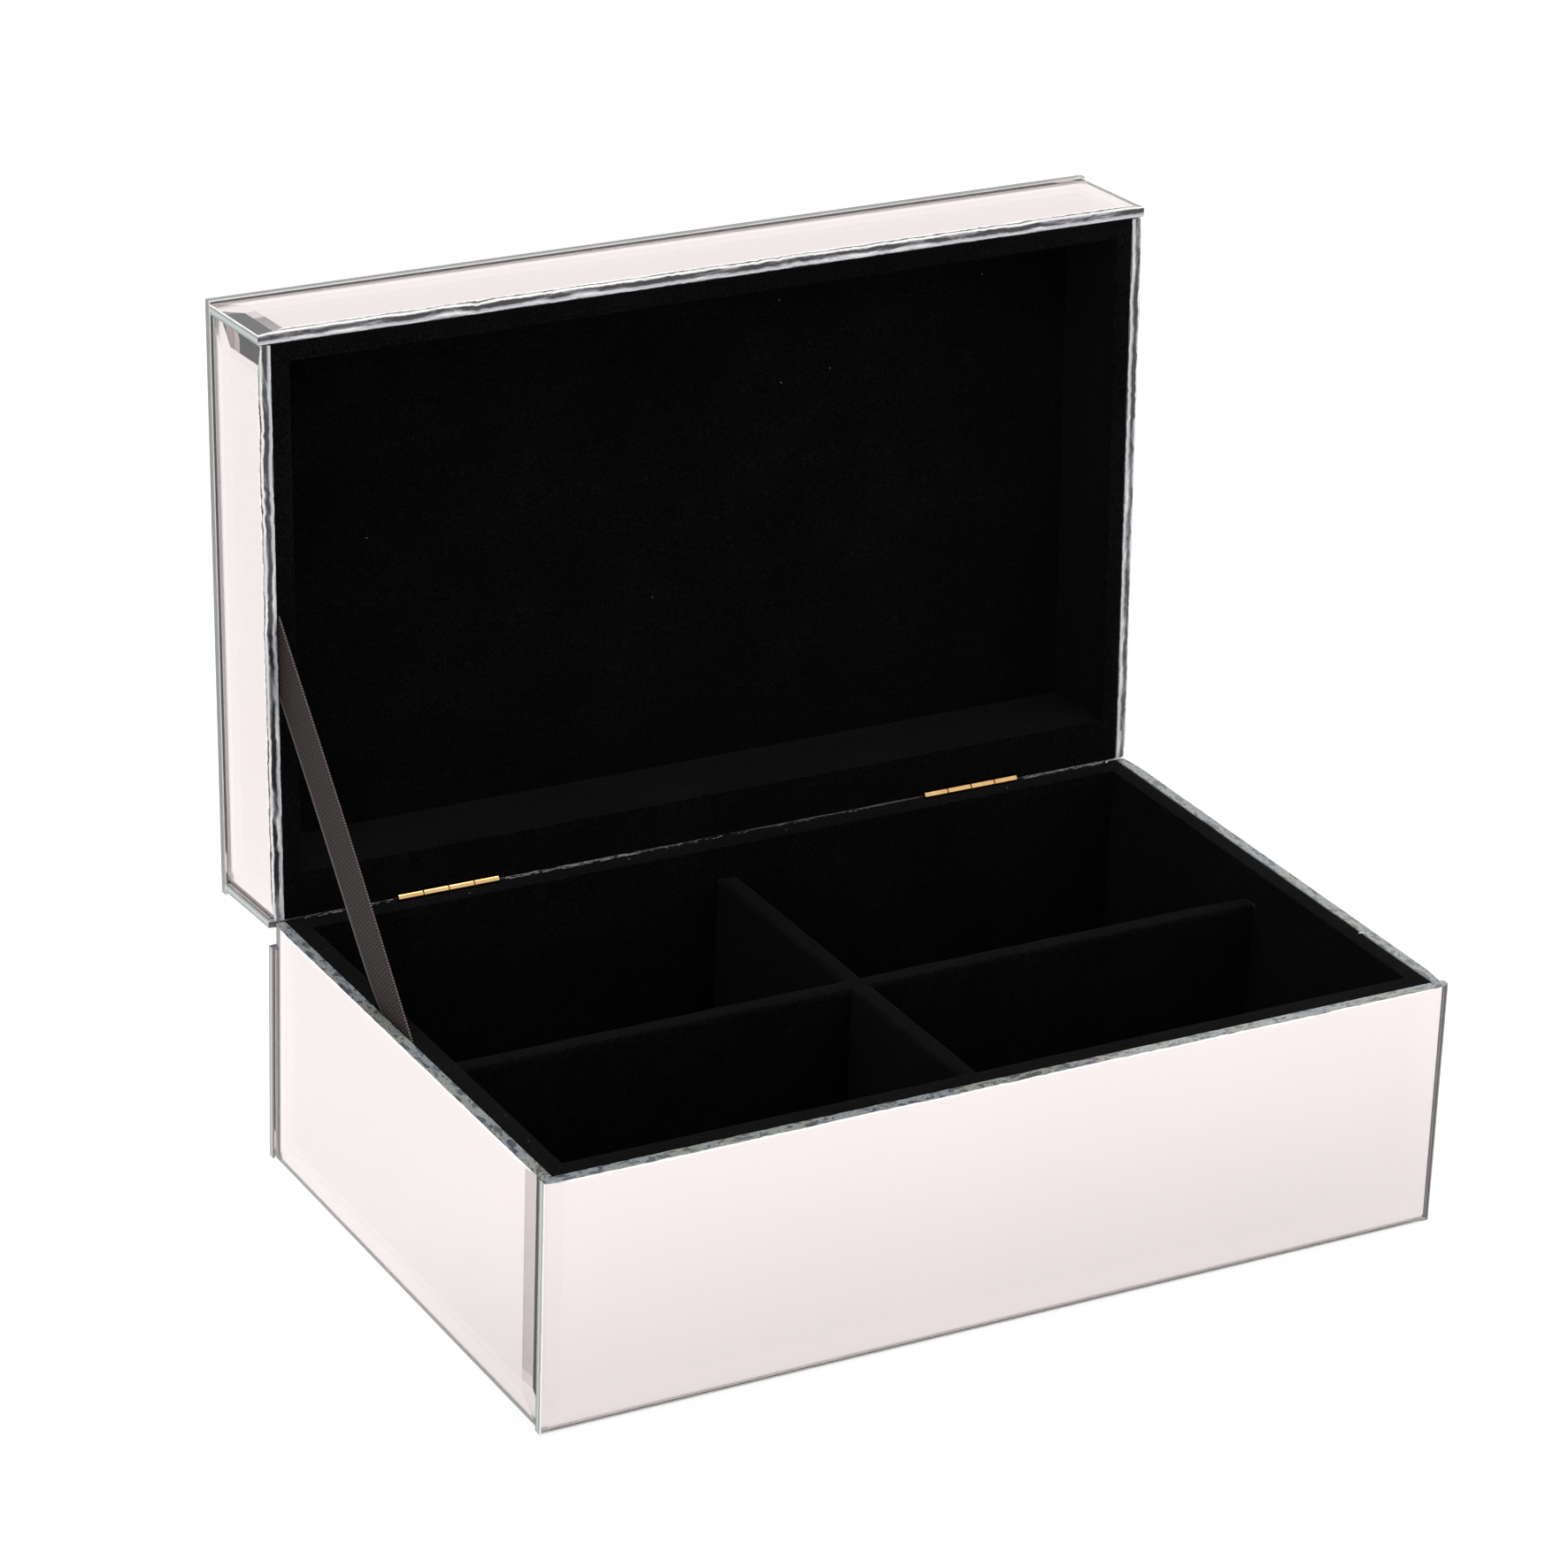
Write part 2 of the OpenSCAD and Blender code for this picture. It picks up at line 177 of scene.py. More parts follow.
glass, tree, place = new_material("polished_float_glass")
smears = add(tree, "ShaderNodeTexNoise", {}, {"Vector": place, "Scale": per_mm(35), "Detail": 6.0, "Roughness": 0.6})
smear_range = add(tree, "ShaderNodeMapRange", {}, {
    "Value": smears.outputs["Fac"], "From Min": 0.45, "From Max": 0.75, "To Min": 0.0, "To Max": 0.035,
})
finish_material(
    tree, Base_Color=linear("#F8FCFA"), Roughness=smear_range.outputs["Result"],
    IOR=GLASS_IOR, Transmission_Weight=1.0,
)

silver, tree, place = new_material("silver_film")
mottle = add(tree, "ShaderNodeTexNoise", {}, {"Vector": place, "Scale": per_mm(60), "Detail": 3.0})
silver_colour = add(tree, "ShaderNodeMix", {"data_type": "RGBA"}, {
    "Factor": mottle.outputs["Fac"], "A": linear("#EBDEDF"), "B": linear("#E7DBDC"),
})
finish_material(tree, Base_Color=silver_colour.outputs["Result"], Metallic=1.0, Roughness=0.02)

# %% [markdown]
# ## Ground edges
# Seen end on, the edge of a mirror gathers light from the whole width of the pane, so it shows
# bands along its length: a bright arris, a dark ragged line, a light band, a dark one. Here these
# bands are painted reflections and a painted arris highlight: a second set of coordinates on each
# pane, in millimetres along the edge and across it from the face, lets colour ramps paint them into
# the edge's colour. Noise stretched along the edge makes them wander. On the base the rims were
# ground wet and look rippled: a real bump, with painted reflections that go light and dark along
# the ripples and a painted iridescence, a trace of violet and amber. The level edges at the foot of
# the sides and round the lid's top let the white table shine through, and their pale bands add a
# painted glow of it.

# %% Ground edge materials
def edge_places(tree, along, across):
    """Edge coordinates with noise of this grain in millimetres; gives distance across and noise."""
    spot = add(tree, "ShaderNodeUVMap", {"uv_map": "edge"}).outputs["UV"]
    stretch = add(tree, "ShaderNodeMapping", {}, {"Vector": spot, "Scale": (1 / along, 1 / across, 1)})
    grain = add(tree, "ShaderNodeTexNoise", {}, {
        "Vector": stretch.outputs["Vector"], "Scale": 1.0, "Detail": 4.0, "Roughness": 0.6, "Distortion": 0.6,
    })
    across_mm = add(tree, "ShaderNodeSeparateXYZ", {}, {"Vector": spot}).outputs["Y"]
    return across_mm, grain.outputs["Fac"]


def wandering(tree, across, grain, width, amount):
    """Distance across the edge as a fraction of its width, moved by noise."""
    scaled = add(tree, "ShaderNodeMath", {"operation": "MULTIPLY"}, {0: across, 1: 1 / width}).outputs["Value"]
    shift = add(tree, "ShaderNodeMath", {"operation": "MULTIPLY_ADD"}, {0: grain, 1: amount, 2: -amount / 2})
    return add(tree, "ShaderNodeMath", {"operation": "ADD"}, {0: scaled, 1: shift.outputs["Value"]}).outputs["Value"]


def mixed(tree, factor, first, second):
    """Two colours mixed; the factor is sharpened so that each of them fills whole patches."""
    sharp = add(tree, "ShaderNodeMapRange", {}, {"Value": factor, "From Min": 0.5, "From Max": 0.62})
    return add(tree, "ShaderNodeMix", {"data_type": "RGBA"}, {
        "Factor": sharp.outputs["Result"], "A": first, "B": second,
    }).outputs["Result"]


RIM_BANDS = 4.2        # mm that the bands of a rim are spread over
SIDE_BANDS = 2.9       # mm that the bands of a ground side are spread over
SIDE_SHIFT = 97        # mm between the chips and waves of one side and the next
PANE_SHIFT = 400       # mm between those of one pane and the next

lid_rim_glass, tree, place = new_material("lid_rim_glass_painted_reflections")
across, slow = edge_places(tree, 14, 3)
across, quick = edge_places(tree, 1.1, 0.5)
jagged = wandering(tree, wandering(tree, across, slow, RIM_BANDS, 0.16), quick, 1, 0.13)
# Painted reflections: both ramps below paint a bright arris highlight and light and dark bands of reflected light into
# the colour.
dark_painted_bands = ramp(tree, jagged, [
    (0.0, "#F4EFED"), (0.05, "#EDE9E8"), (0.08, "#353334"), (0.13, "#454244"), (0.17, "#CFCDCE"), (0.27, "#EDEAE8"),
    (0.33, "#5A585A"), (0.37, "#232124"), (0.6, "#2F2D31"), (0.66, "#9A9A9F"), (0.82, "#C6C6CC"), (0.9, "#3A383B"),
])
light_painted_bands = ramp(tree, jagged, [
    (0.0, "#F6F2F0"), (0.07, "#E4E0DF"), (0.1, "#8A8789"), (0.16, "#B4B1B2"), (0.3, "#D8D6D8"), (0.42, "#7C7B80"),
    (0.5, "#6A696E"), (0.6, "#A5A5AB"), (0.72, "#E9E6E4"), (0.84, "#A9A9AF"), (0.95, "#5A585C"),
])
rim_bump = add(tree, "ShaderNodeBump", {}, {"Strength": 0.5, "Distance": 0.15 * MM, "Height": jagged})
finish_material(
    tree, Base_Color=mixed(tree, slow, dark_painted_bands, light_painted_bands), Roughness=0.12, IOR=GLASS_IOR,
    Normal=rim_bump.outputs["Normal"],
)

base_rim_glass, tree, place = new_material("base_rim_glass_painted_reflections")
across, swirl = edge_places(tree, 4.5, 2.2)
across, drift = edge_places(tree, 17, 6)
ripples = add(tree, "ShaderNodeMath", {"operation": "PINGPONG"}, {0: swirl, 1: 0.16}).outputs["Value"]
ripple_height = add(tree, "ShaderNodeMath", {"operation": "MULTIPLY"}, {0: ripples, 1: 6.2}).outputs["Value"]
# Painted reflections that go light and dark along the ripples.
ripple_painted_reflection = ramp(tree, ripple_height, [
    (0.0, "#232628"), (0.2, "#5C6164"), (0.45, "#383D41"), (0.6, "#7D8386"),
    (0.75, "#9EA4A2"), (0.88, "#464C50"), (1.0, "#B4B7B4"),
])
# Painted iridescence: patches of violet and amber.
painted_iridescence = ramp(tree, drift, [
    (0.3, "#5B6266"), (0.42, "#4B4470"), (0.48, "#6A7076"), (0.55, "#8D7B4C"), (0.62, "#6C7A6E"), (0.72, "#7C8488"),
])
rippled = add(tree, "ShaderNodeMix", {"data_type": "RGBA"}, {
    "Factor": 0.2, "A": ripple_painted_reflection, "B": painted_iridescence,
}).outputs["Result"]
# A painted white highlight on the outer arris and a painted grey line at the back, laid over the rest through the mask
# below.
painted_arris_lines = ramp(tree, wandering(tree, across, swirl, RIM_BANDS, 0.03), [
    (0.0, "#FFFFFF"), (0.09, "#F2EEEC"), (0.12, "#000000"), (0.84, "#000000"), (0.88, "#8A9290"), (1.0, "#8A9290"),
])
painted_line_mask = ramp(tree, wandering(tree, across, swirl, RIM_BANDS, 0.03), [
    (0.0, "#FFFFFF"), (0.09, "#FFFFFF"), (0.12, "#000000"), (0.84, "#000000"), (0.88, "#FFFFFF"), (1.0, "#FFFFFF"),
])
base_edge_painted_light = add(tree, "ShaderNodeMix", {"data_type": "RGBA"}, {"Factor": painted_line_mask, "A": rippled, "B": painted_arris_lines})
ripple_bump = add(tree, "ShaderNodeBump", {}, {"Strength": 0.6, "Distance": 0.2 * MM, "Height": ripples})
finish_material(
    tree, Base_Color=base_edge_painted_light.outputs["Result"], Roughness=0.1, IOR=GLASS_IOR,
    Normal=ripple_bump.outputs["Normal"],
)


def side_edge(name, stops, clear, rough):
    """The ground edge of a bevelled side: its painted reflection bands from face to back, how clear and how rough it
    is.
    """
    made, tree, place = new_material(name)
    across, chips = edge_places(tree, 5, 0.7)
    # The ramp paints bands of reflection into the colour, with a painted highlight where it starts bright.
    tone = ramp(tree, wandering(tree, across, chips, SIDE_BANDS, 0.12), stops)
    chip_bump = add(tree, "ShaderNodeBump", {}, {"Strength": 0.5, "Distance": 0.1 * MM, "Height": chips})
    finish_material(
        tree, Base_Color=tone, Roughness=rough, IOR=GLASS_IOR, Transmission_Weight=clear,
        Normal=chip_bump.outputs["Normal"],
    )
    return made


# Painted reflections: the upright edges start with a painted arris highlight. The level edges are clear, so the table
# really shines through, and their pale bands paint more of its glow.
grey_edge_glass = side_edge("ground_upright_edge_painted_reflections", [
    (0.0, "#F4F1EF"), (0.1, "#EAE8E5"), (0.15, "#6F7775"), (0.3, "#8A9391"),
    (0.5, "#B3B9B6"), (0.68, "#969E9B"), (0.88, "#6C7371"),
], 0.0, 0.2)
pale_edge_glass = side_edge("ground_level_edge_painted_glow", [
    (0.0, "#FAF8F7"), (0.2, "#F4F4F2"), (0.5, "#E0E4E1"), (0.75, "#ECEEEB"), (0.95, "#CDD2CF"),
], 0.85, 0.4)

# %% [markdown]
# ## Building in the shut position
# The lid's panes and linings are square to the axes only when the lid is shut. So each lid piece
# is built shut, from its node's box turned back about the hinge, and its mesh is then turned to the
# open position that the box stands in. The hinge's own range gives the angle.

# %% Turn between shut and open
hinge = frame["joints"][0]
HINGE_AT = Vector(hinge["pos_m"])
OPEN_ANGLE = math.radians(hinge["range_deg"][1])
shut_to_open = (
    Matrix.Translation(HINGE_AT)
    @ Matrix.Rotation(-OPEN_ANGLE, 4, Vector(hinge["axis"]))
    @ Matrix.Translation(-HINGE_AT)
)
body_of_node = {name: node["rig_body"] for name, node in frame["nodes"].items()}


def placed(node):
    """The matrix from the position that a node's piece is built in to where it stands."""
    return shut_to_open if body_of_node[node] == hinge["child"] else Matrix.Identity(4)


def built_box(node):
    """Lowest and highest corner of a node, in the position that its piece is built in."""
    back = placed(node).inverted()
    points = [back @ v.co for v in frame["nodes"][node].data.vertices]
    return tuple(Vector([pick(p[i] for p in points) for i in range(3)]) for pick in (min, max))


def show(piece, bm, materials, node, smooth_below=30, replace=True):
    """Makes an object of a bmesh that was built shut. It rides on the node's body and replaces the node."""
    mesh = bpy.data.meshes.new(piece)
    bmesh.ops.recalc_face_normals(bm, faces=bm.faces)
    bm.to_mesh(mesh)
    bm.free()
    mesh.transform(placed(node))
    for material in materials:
        mesh.materials.append(material)
    made = bpy.data.objects.new(piece, mesh)
    bpy.context.scene.collection.objects.link(made)
    mesh.shade_smooth()
    mesh.set_sharp_from_angle(angle=math.radians(smooth_below))
    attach(made, body_of_node[node])
    if replace:
        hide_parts(node)
    return made

# %% [markdown]
# ## Bevelled panes
# Each pane is lofted from rings: the back, a small seamed arris, the edge, the outer arris and the
# line where the bevel meets the face. The base and lid panes of a side were cut from one bevelled
# strip, so the side at the rim has no bevel. It was only seamed by hand on a grinding belt, wider
# on the lid, and its lines wander by a few tenths of a millimetre. Each ring is a rectangle with
# its own inset on each side, and a point every millimetre and a half, so that they can wander.

# %% Pane builder
BEVEL_W, BEVEL_DROP = 7 * MM, 0.8 * MM
ARRIS = 0.25 * MM
GLUE = 0.05 * MM  # the silver stands this far off the core, so that the two never coincide
STATION = 1.5 * MM


def pane_axes(face):
    """Right-handed axes of a pane: along it, up it and out of its face."""
    out = Vector(face)
    along = Vector((1, 0, 0)) if abs(out.x) < 0.5 else Vector((0, 1, 0))
    return along, out.cross(along), out


def wave(along, side, seed, *sizes):
    """Slow noise along a side, as the sum of waves of these lengths in millimetres."""
    return sum(
        noise.noise(Vector((along / (size * MM), side * 7.3 + 30 * k, seed))) / (1 + 0.5 * k)
        for k, size in enumerate(sizes)
    )


def ring(half_a, half_b, insets, heights, wander, lift, seed):
    """Points round a pane. Insets, heights, wander and lift have one value for each side."""
    x0, x1, y0, y1 = insets[3] - half_a, half_a - insets[1], insets[0] - half_b, half_b - insets[2]
    corners = [(x0, y0), (x1, y0), (x1, y1), (x0, y1)]
    points = []
    for side in range(4):
        start, stop = Vector(corners[side]), Vector(corners[(side + 1) % 4])
        full = 2 * (half_a if side % 2 == 0 else half_b)
        inward = Vector(((0, 1), (-1, 0), (0, -1), (1, 0))[side])
        for k in range(max(8, round(full / STATION))):
            t = k / max(8, round(full / STATION))
            calm = min(1, 8 * min(t, 1 - t))
            spot = start.lerp(stop, t) + inward * wander[side] * calm * wave(t * full, side, seed, 9, 2.6, 1.3)
            height = heights[side] + lift[side] * calm * wave(t * full, side, seed + 0.5, 6, 2.1)
            points.append(Vector((spot.x, spot.y, height)))
    return points


def pane(node, face, rim=None, seam=0.3 * MM, seed=0, rim_glass=None):
    """A bevelled mirror for a CAD pane. Rim is the direction of its square, hand-seamed side."""
    low, high = built_box(node)
    along, up, out = pane_axes(face)
    half_a, half_b, thick = (abs((high - low).dot(v)) / f for v, f in ((along, 2), (up, 2), (out, 1)))
    origin = (low + high) / 2 - out * thick / 2
    square = [rim is not None and s.dot(Vector(rim)) > 0.9 for s in (-up, along, up, -along)]
    def each(on_bevel, on_rim):
        return [on_rim if q else on_bevel for q in square]
    slope = BEVEL_DROP / BEVEL_W
    rough = seam * 0.45

    def ceiling(p):
        """Height of the bevelled face over a point: each bevelled side slopes down to its edge."""
        off = [half_b + p.y, half_a - p.x, half_b - p.y, half_a + p.x]
        return min([thick] + [thick - BEVEL_DROP + slope * d for d, q in zip(off, square) if not q])

    rows = [
        ring(half_a, half_b, each(ARRIS, ARRIS), each(GLUE, GLUE), each(0, 0.04 * MM), each(0, 0), seed),
        ring(half_a, half_b, each(0, 0), each(GLUE + ARRIS, GLUE + ARRIS), each(0, 0), each(0, 0.08 * MM), seed + 1),
        ring(half_a, half_b, each(0, 0), each(thick - BEVEL_DROP - ARRIS, thick - 0.7 * seam),
             each(0, 0), each(0.02 * MM, 0.35 * rough), seed + 2),
        ring(half_a, half_b, each(ARRIS, 0.45 * seam), each(thick - BEVEL_DROP + ARRIS * slope, thick - 0.25 * seam),
             each(0.02 * MM, 0.5 * rough), each(0, 0.3 * rough), seed + 3),
        ring(half_a, half_b, each(BEVEL_W, seam), each(thick, thick), each(0.03 * MM, rough), each(0, 0), seed + 4),
    ]
    limit = (half_a, half_b)
    spots = [
        [[max(-limit[i], min(limit[i], p[i])) for i in (0, 1)] + [max(GLUE, min(ceiling(p) - under, p.z))] for p in row]
        for row, under in zip(rows, (0, 0, ARRIS, 0, 0))
    ]
    count = len(spots[0])
    side_of = [s for s in range(4) for _ in range(max(8, round(2 * (half_a, half_b)[s % 2] / STATION)))]

    def across_edge(side, k, n):
        """Distance in mm from the line where the face ends to ring k, square to the side."""
        total = 0.0
        for row in range(k, 4 if square[side] else 3):
            step = Vector(spots[row][n]) - Vector(spots[row + 1][n])
            step[side % 2] = 0
            total += step.length / MM
        return total

    bm = bmesh.new()
    edge_layer = bm.loops.layers.uv.new("edge")
    loops = [[bm.verts.new(origin + along * a + up * b + out * c) for a, b, c in row] for row in spots]
    for k in range(len(loops) - 1):
        for i in range(count):
            j = (i + 1) % count
            made = bm.faces.new([loops[k][i], loops[k][j], loops[k + 1][j], loops[k + 1][i]])
            side = side_of[i]
            made.material_index = 3 if square[side] else 0 if k == 3 else 2 if side % 2 and rim else 4
            for loop, (m, n) in zip(made.loops, ((k, i), (k, j), (k + 1, j), (k + 1, i))):
                along_edge = spots[m][n][side % 2] / MM + SIDE_SHIFT * side + PANE_SHIFT * seed
                loop[edge_layer].uv = (along_edge, across_edge(side, m, n))
    bm.faces.new(loops[-1]).material_index = 0
    bm.faces.new(list(reversed(loops[0]))).material_index = 1
    materials = [glass, silver, grey_edge_glass, rim_glass or grey_edge_glass, pale_edge_glass]
    return show("mirror_" + node, bm, materials, node, 2.5)

# %% Nine panes
UP, DOWN, FRONT, REAR, LEFT, RIGHT = (0, 0, 1), (0, 0, -1), (0, -1, 0), (0, 1, 0), (-1, 0, 0), (1, 0, 0)
BASE_SEAM, LID_SEAM = 0.45 * MM, 0.9 * MM
panes = [
    pane("base_mirror_front", FRONT, UP, BASE_SEAM, 11, base_rim_glass),
    pane("base_mirror_rear", REAR, UP, BASE_SEAM, 22, base_rim_glass),
    pane("base_mirror_left", LEFT, UP, BASE_SEAM, 33, base_rim_glass),
    pane("base_mirror_right", RIGHT, UP, BASE_SEAM, 44, base_rim_glass),
    pane("lid_mirror_top", UP, seed=55),
    pane("lid_mirror_front", FRONT, DOWN, LID_SEAM, 66, lid_rim_glass),
    pane("lid_mirror_rear", REAR, DOWN, LID_SEAM, 77, lid_rim_glass),
    pane("lid_mirror_left", LEFT, DOWN, LID_SEAM, 88, lid_rim_glass),
    pane("lid_mirror_right", RIGHT, DOWN, LID_SEAM, 99, lid_rim_glass),
]
print("panes:", len(panes), "with", sum(len(p.data.polygons) for p in panes), "faces")

# %% [markdown]
# ## Velvet
# The lining is cotton-backed black velvet: a short, dense pile that swallows light seen straight
# on and lights up a little where it is seen along the tips. A nearly black base with a soft sheen
# gives both. The pile's own grain is finer than the picture can show, so it is drawn at about half
# a millimetre, and a slower pattern stands for pile that leans one way and then the other.

# %% Velvet material
velvet, tree, place = new_material("black_cotton_velvet")
pile = add(tree, "ShaderNodeTexNoise", {}, {"Vector": place, "Scale": per_mm(0.5), "Detail": 3.0, "Roughness": 0.7})
lean = add(tree, "ShaderNodeTexNoise", {}, {"Vector": place, "Scale": per_mm(25), "Detail": 2.0})
tips = add(tree, "ShaderNodeMath", {"operation": "MULTIPLY_ADD"}, {
    0: lean.outputs["Fac"], 1: 0.2, 2: pile.outputs["Fac"],
})
tip_range = add(tree, "ShaderNodeMapRange", {}, {"Value": tips.outputs["Value"], "From Min": 0.56, "From Max": 0.74})
velvet_colour = add(tree, "ShaderNodeMix", {"data_type": "RGBA"}, {
    "Factor": tip_range.outputs["Result"], "A": linear("#010101"), "B": linear("#0E0E10"),
})
pile_bump = add(tree, "ShaderNodeBump", {}, {"Strength": 1.0, "Distance": 0.5 * MM, "Height": pile.outputs["Fac"]})
finish_material(
    tree, Base_Color=velvet_colour.outputs["Result"], Roughness=1.0, Specular_IOR_Level=0.02,
    Sheen_Weight=0.06, Sheen_Roughness=0.45, Sheen_Tint=linear("#A09C9C"), Normal=pile_bump.outputs["Normal"],
)

# %% [markdown]
# ## Linings
# Velvet glued over board has no hard corner. The wall linings keep the outline of their CAD solid,
# with its notches for the hinges, so they start from that mesh: its sharp edges are rounded, its
# long faces are cut into a grid, and the grid is moved by slow noise, as glued cloth is never quite
# flat. The floor, the lid panel and the dividers are plain forms and start from a block.

# %% Soft skin builders
def cut_grid(bm, spacing):
    """Cuts a mesh by planes, so that its faces are no longer than the spacing."""
    for axis in range(3):
        values = [v.co[axis] for v in bm.verts]
        low, high = min(values), max(values)
        steps = int((high - low) / spacing)
        direction = Vector([float(i == axis) for i in range(3)])
        for k in range(1, steps + 1):
            at = direction * (low + (high - low) * k / (steps + 1))
            bmesh.ops.bisect_plane(
                bm, geom=bm.verts[:] + bm.edges[:] + bm.faces[:], plane_co=at, plane_no=direction, dist=1e-6,
            )


def ruffle(bm, amount, size, low, high):
    """Moves a mesh along its normals by slow noise, and keeps it inside its box."""
    bm.normal_update()
    moves = [v.normal * amount * noise.noise(v.co / size) for v in bm.verts]
    for v, move in zip(bm.verts, moves):
        for i in range(3):
            v.co[i] = min(max(v.co[i] + move[i], low[i]), high[i])


def round_edges(bm, radius, segments=3):
    sharp = [e for e in bm.edges if len(e.link_faces) == 2 and e.calc_face_angle() > math.radians(35)]
    bmesh.ops.bevel(
        bm, geom=sharp, offset=radius, segments=segments, profile=0.5, affect="EDGES", clamp_overlap=True,
    )


def lining(piece, node, radius=0.28 * MM, spacing=8 * MM):
    """Velvet that keeps the outline of its CAD solid."""
    low, high = built_box(node)
    bm = bmesh.new()
    bm.from_mesh(frame["nodes"][node].data)
    bm.transform(placed(node).inverted())
    bmesh.ops.remove_doubles(bm, verts=bm.verts, dist=2e-6)
    bmesh.ops.dissolve_limit(bm, angle_limit=math.radians(1), verts=bm.verts, edges=bm.edges)
    round_edges(bm, radius)
    cut_grid(bm, spacing)
    ruffle(bm, 0.12 * MM, 11 * MM, low, high)
    return show(piece, bm, [velvet], node, 60)


def soft_block(piece, node, material, radius, spacing, amount):
    """A padded block in its node's box, with rounded edges and an uneven face."""
    low, high = built_box(node)
    bm = bmesh.new()
    bmesh.ops.create_cube(bm, size=1)
    for v in bm.verts:
        v.co = Vector([low[i] if v.co[i] < 0 else high[i] for i in range(3)])
    round_edges(bm, radius, 4)
    cut_grid(bm, spacing)
    ruffle(bm, amount, 9 * MM, low, high)
    return show(piece, bm, [material], node, 60)

# %% Velvet pieces
soft_pieces = [
    lining("velvet_base_walls", "base_wall_lining"),
    lining("velvet_lid_walls", "lid_wall_lining"),
    soft_block("velvet_base_floor", "base_floor_lining", velvet, 0.3 * MM, 7 * MM, 0.15 * MM),
    soft_block("velvet_lid_panel", "lid_panel_lining", velvet, 0.3 * MM, 7 * MM, 0.15 * MM),
    soft_block("velvet_divider_long", "divider_long_cover", velvet, 1.4 * MM, 5 * MM, 0.2 * MM),
    soft_block("velvet_divider_short", "divider_short_cover", velvet, 1.4 * MM, 5 * MM, 0.2 * MM),
]
print("velvet pieces:", [(p.name, len(p.data.polygons)) for p in soft_pieces])

# %% [markdown]
# ## Lint
# Black velvet keeps every pale fibre that touches it. Where the lid's lining meets the base's, the
# cut backing of the cloth has frayed along the joint, most of it between the hinges. A white thread
# hangs over the right rim, and single specks lie on the lining. None of these has a CAD node: each
# is a small extra piece that rides on the velvet's body.

# %% Lint pieces
lint, tree, place = new_material("pale_lint")
fluff = add(tree, "ShaderNodeTexNoise", {}, {"Vector": place, "Scale": per_mm(4), "Detail": 3.0})
lint_colour = add(tree, "ShaderNodeMix", {"data_type": "RGBA"}, {
    "Factor": fluff.outputs["Fac"], "A": linear("#4E4A49"), "B": linear("#B4AEAD"),
})
finish_material(tree, Base_Color=lint_colour.outputs["Result"], Roughness=0.9)

thread, tree, place = new_material("white_cotton_thread")
ply = add(tree, "ShaderNodeTexWave", {}, {"Vector": place, "Scale": per_mm(0.9), "Distortion": 1.0})
thread_colour = add(tree, "ShaderNodeMix", {"data_type": "RGBA"}, {
    "Factor": ply.outputs["Fac"], "A": linear("#DCDADD"), "B": linear("#FAF9FB"),
})
finish_material(tree, Base_Color=thread_colour.outputs["Result"], Roughness=0.8)


def fibre(bm, start, heading, length, thick, low, high, dice):
    """A bent fibre with a three-sided section, kept inside a box."""
    sections, spot = [], Vector(start)
    for _ in range(5):
        middle = Vector([min(max(spot[i], low[i] + thick), high[i] - thick) for i in range(3)])
        sideways = Vector((-math.sin(heading), math.cos(heading), 0)) * thick
        corners = (middle + sideways, middle - sideways, middle + Vector((0, 0, thick)))
        sections.append([bm.verts.new(corner) for corner in corners])
        heading += dice.uniform(-0.5, 0.5)
        spot += Vector((math.cos(heading), math.sin(heading), dice.uniform(-0.12, 0.12))) * length / 4
    for first, second in zip(sections, sections[1:]):
        for i in range(3):
            bm.faces.new([first[i], first[(i + 1) % 3], second[(i + 1) % 3], second[i]])
    bm.faces.new(sections[0])
    bm.faces.new(list(reversed(sections[-1])))


def fibres(piece, node, material, regions, thick, seed, spread=math.pi):
    """Fibres on a node's body; a region is a count, a length range and two corners, in mm."""
    dice = random.Random(seed)
    bm = bmesh.new()
    for count, (shortest, longest), low, high in regions:
        low, high = Vector(low) * MM, Vector(high) * MM
        for _ in range(count):
            start = [dice.uniform(low[i], high[i]) for i in range(3)]
            length = dice.uniform(shortest, longest) * MM
            fibre(bm, start, dice.uniform(-spread, spread), length, thick, low, high, dice)
    return show(piece, bm, [material], node, 60, replace=False)


panel_low, panel_high = (corner / MM for corner in built_box("lid_panel_lining"))
lint_pieces = [
    fibres("lint_hinge_line", "base_wall_lining", lint, [
        (50, (0.5, 1.4), (-117, 73.9, 66.83), (-92, 75.1, 67.15)),
        (190, (0.5, 1.8), (-61, 73.9, 66.83), (-22, 75.1, 67.15)),
        (60, (0.4, 1.2), (-22, 74.2, 66.83), (45, 75.1, 67.1)),
        (110, (0.4, 1.5), (92, 73.9, 66.83), (117, 75.1, 67.15)),
    ], 0.05 * MM, 5, 0.5),
    fibres("white_thread_rim", "base_wall_lining", thread, [
        (1, (2.1, 2.2), (120.0, -45.0, 66.84), (122.2, -43.2, 67.16)),
        (1, (1.0, 1.2), (117.6, 73.0, 66.84), (118.6, 74.4, 67.16)),
    ], 0.15 * MM, 3, 0.8),
    fibres("lint_specks_base", "base_wall_lining", lint, [
        (5, (0.3, 0.7), (-119, -60, 66.82), (-118, 60, 66.95)),
        (4, (0.3, 0.7), (-90, 70.5, 66.82), (90, 72.5, 66.95)),
    ], 0.06 * MM, 8),
    fibres("lint_specks_lid", "lid_panel_lining", lint, [
        (
            9, (0.3, 0.8), (panel_low.x + 5, panel_low.y + 5, panel_low.z - 0.12),
            (panel_high.x - 5, panel_high.y - 5, panel_low.z),
        ),
    ], 0.06 * MM, 12),
]
print("lint pieces:", [(p.name, len(p.data.polygons)) for p in lint_pieces])

# %% [markdown]
# ## Felt foot
# The base stands on one sheet of black wool felt. Felt has no weave: short fibres lie in every
# direction, so its surface is a fine irregular noise with no shine.

